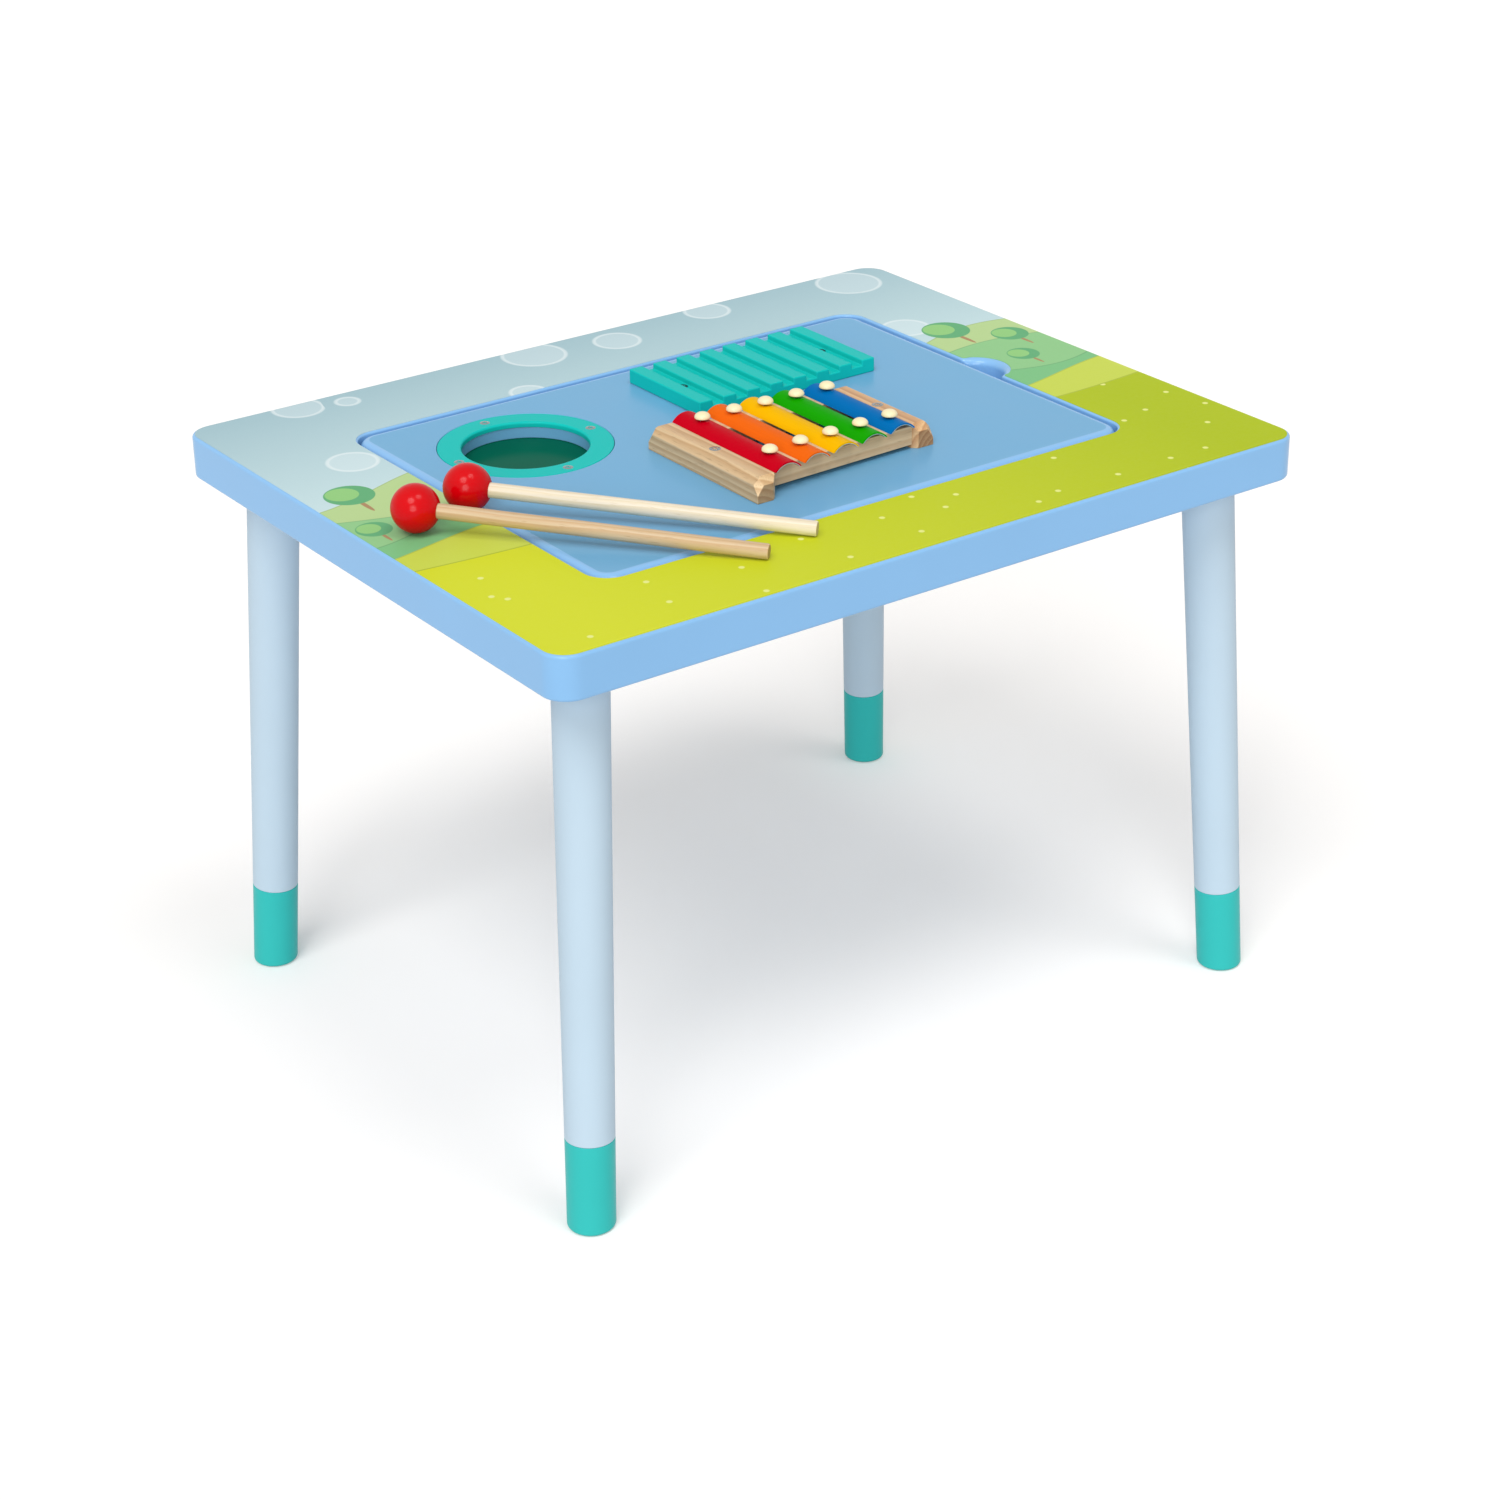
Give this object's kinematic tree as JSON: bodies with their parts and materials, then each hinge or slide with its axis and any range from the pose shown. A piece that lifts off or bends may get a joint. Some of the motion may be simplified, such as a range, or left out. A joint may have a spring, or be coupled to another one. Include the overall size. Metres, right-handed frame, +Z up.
{
  "type": "sensory play table",
  "caption": "Low children's play table with a lift-off music lid over a drop-in bin: drum, ribbed scraper, metal-key xylophone and loose mallets on round splayed legs.",
  "frame": {"origin": "on the floor under the middle of the table top", "axes": "+Z up, +X along the long side, -Y the front long side that faces the player"},
  "size_m": [0.6, 0.472, 0.4472],
  "materials": {
    "frame_paint": "satin sprayed paint on fibreboard",
    "print_film": "satin printed film",
    "steel": "zinc plated",
    "dark_steel": "black zinc plated",
    "leg_paint": "satin sprayed paint on turned wood",
    "foot_paint": "satin",
    "bin_plastic": "moulded, fine texture",
    "lid_paint": "satin sprayed paint on fibreboard",
    "teal_paint": "satin sprayed paint",
    "drum_film": "smooth, slightly glossy",
    "rail_wood": "clear lacquered pine",
    "bar_wood": "clear lacquered pine",
    "cap_plastic": "moulded",
    "key_red": "gloss enamel",
    "key_orange": "gloss enamel",
    "key_yellow": "gloss enamel",
    "key_green": "gloss enamel",
    "key_blue": "gloss enamel",
    "head_paint": "gloss paint on a turned ball",
    "stick_wood": "bare beech",
    "pale_stick_wood": "bare beech"
  },
  "bodies": {
    "table": {"top_frame": "frame_paint", "top_print": "print_film", "leg_inserts": "steel", "leg_bolts": "steel", "leg_front_left": "leg_paint", "leg_front_right": "leg_paint", "leg_back_left": "leg_paint", "leg_back_right": "leg_paint", "foot_front_left": "foot_paint", "foot_front_right": "foot_paint", "foot_back_left": "foot_paint", "foot_back_right": "foot_paint"},
    "bin": {"sensory_bin": "bin_plastic"},
    "lid": {"lid_panel": "lid_paint", "drum_ring": "teal_paint", "drum_skin": "drum_film", "drum_clamp_ring": "teal_paint", "drum_screws": "steel", "scraper_block": "teal_paint", "scraper_screws": "dark_steel", "xylophone_left_rail": "rail_wood", "xylophone_right_rail": "rail_wood", "xylophone_front_bar": "bar_wood", "xylophone_back_bar": "bar_wood", "xylophone_screws": "steel", "key_pins": "steel", "key_caps": "cap_plastic"},
    "red_key": {"key_red": "key_red"},
    "orange_key": {"key_orange": "key_orange"},
    "yellow_key": {"key_yellow": "key_yellow"},
    "green_key": {"key_green": "key_green"},
    "blue_key": {"key_blue": "key_blue"},
    "front_mallet": {"front_mallet_head": "head_paint", "front_mallet_stick": "stick_wood"},
    "rear_mallet": {"rear_mallet_head": "head_paint", "rear_mallet_stick": "pale_stick_wood"}
  },
  "joints": [
    {"name": "bin_lift", "type": "slide", "parent": "table", "child": "bin", "axis": [0, 0, 1], "range_m": [0, 0.12]},
    {"name": "lid_lift", "type": "slide", "parent": "bin", "child": "lid", "axis": [0, 0, 1], "range_m": [0, 0.12]},
    {"name": "red_key_float", "type": "slide", "parent": "lid", "child": "red_key", "axis": [0, 0, 1], "range_m": [0, 0.0012]},
    {"name": "orange_key_float", "type": "slide", "parent": "lid", "child": "orange_key", "axis": [0, 0, 1], "range_m": [0, 0.0012]},
    {"name": "yellow_key_float", "type": "slide", "parent": "lid", "child": "yellow_key", "axis": [0, 0, 1], "range_m": [0, 0.0012]},
    {"name": "green_key_float", "type": "slide", "parent": "lid", "child": "green_key", "axis": [0, 0, 1], "range_m": [0, 0.0012]},
    {"name": "blue_key_float", "type": "slide", "parent": "lid", "child": "blue_key", "axis": [0, 0, 1], "range_m": [0, 0.0012]},
    {"name": "front_mallet_lift", "type": "slide", "parent": "lid", "child": "front_mallet", "axis": [0, 0, 1], "range_m": [0, 0.12]},
    {"name": "rear_mallet_lift", "type": "slide", "parent": "lid", "child": "rear_mallet", "axis": [0, 0, 1], "range_m": [0, 0.12]}
  ]
}
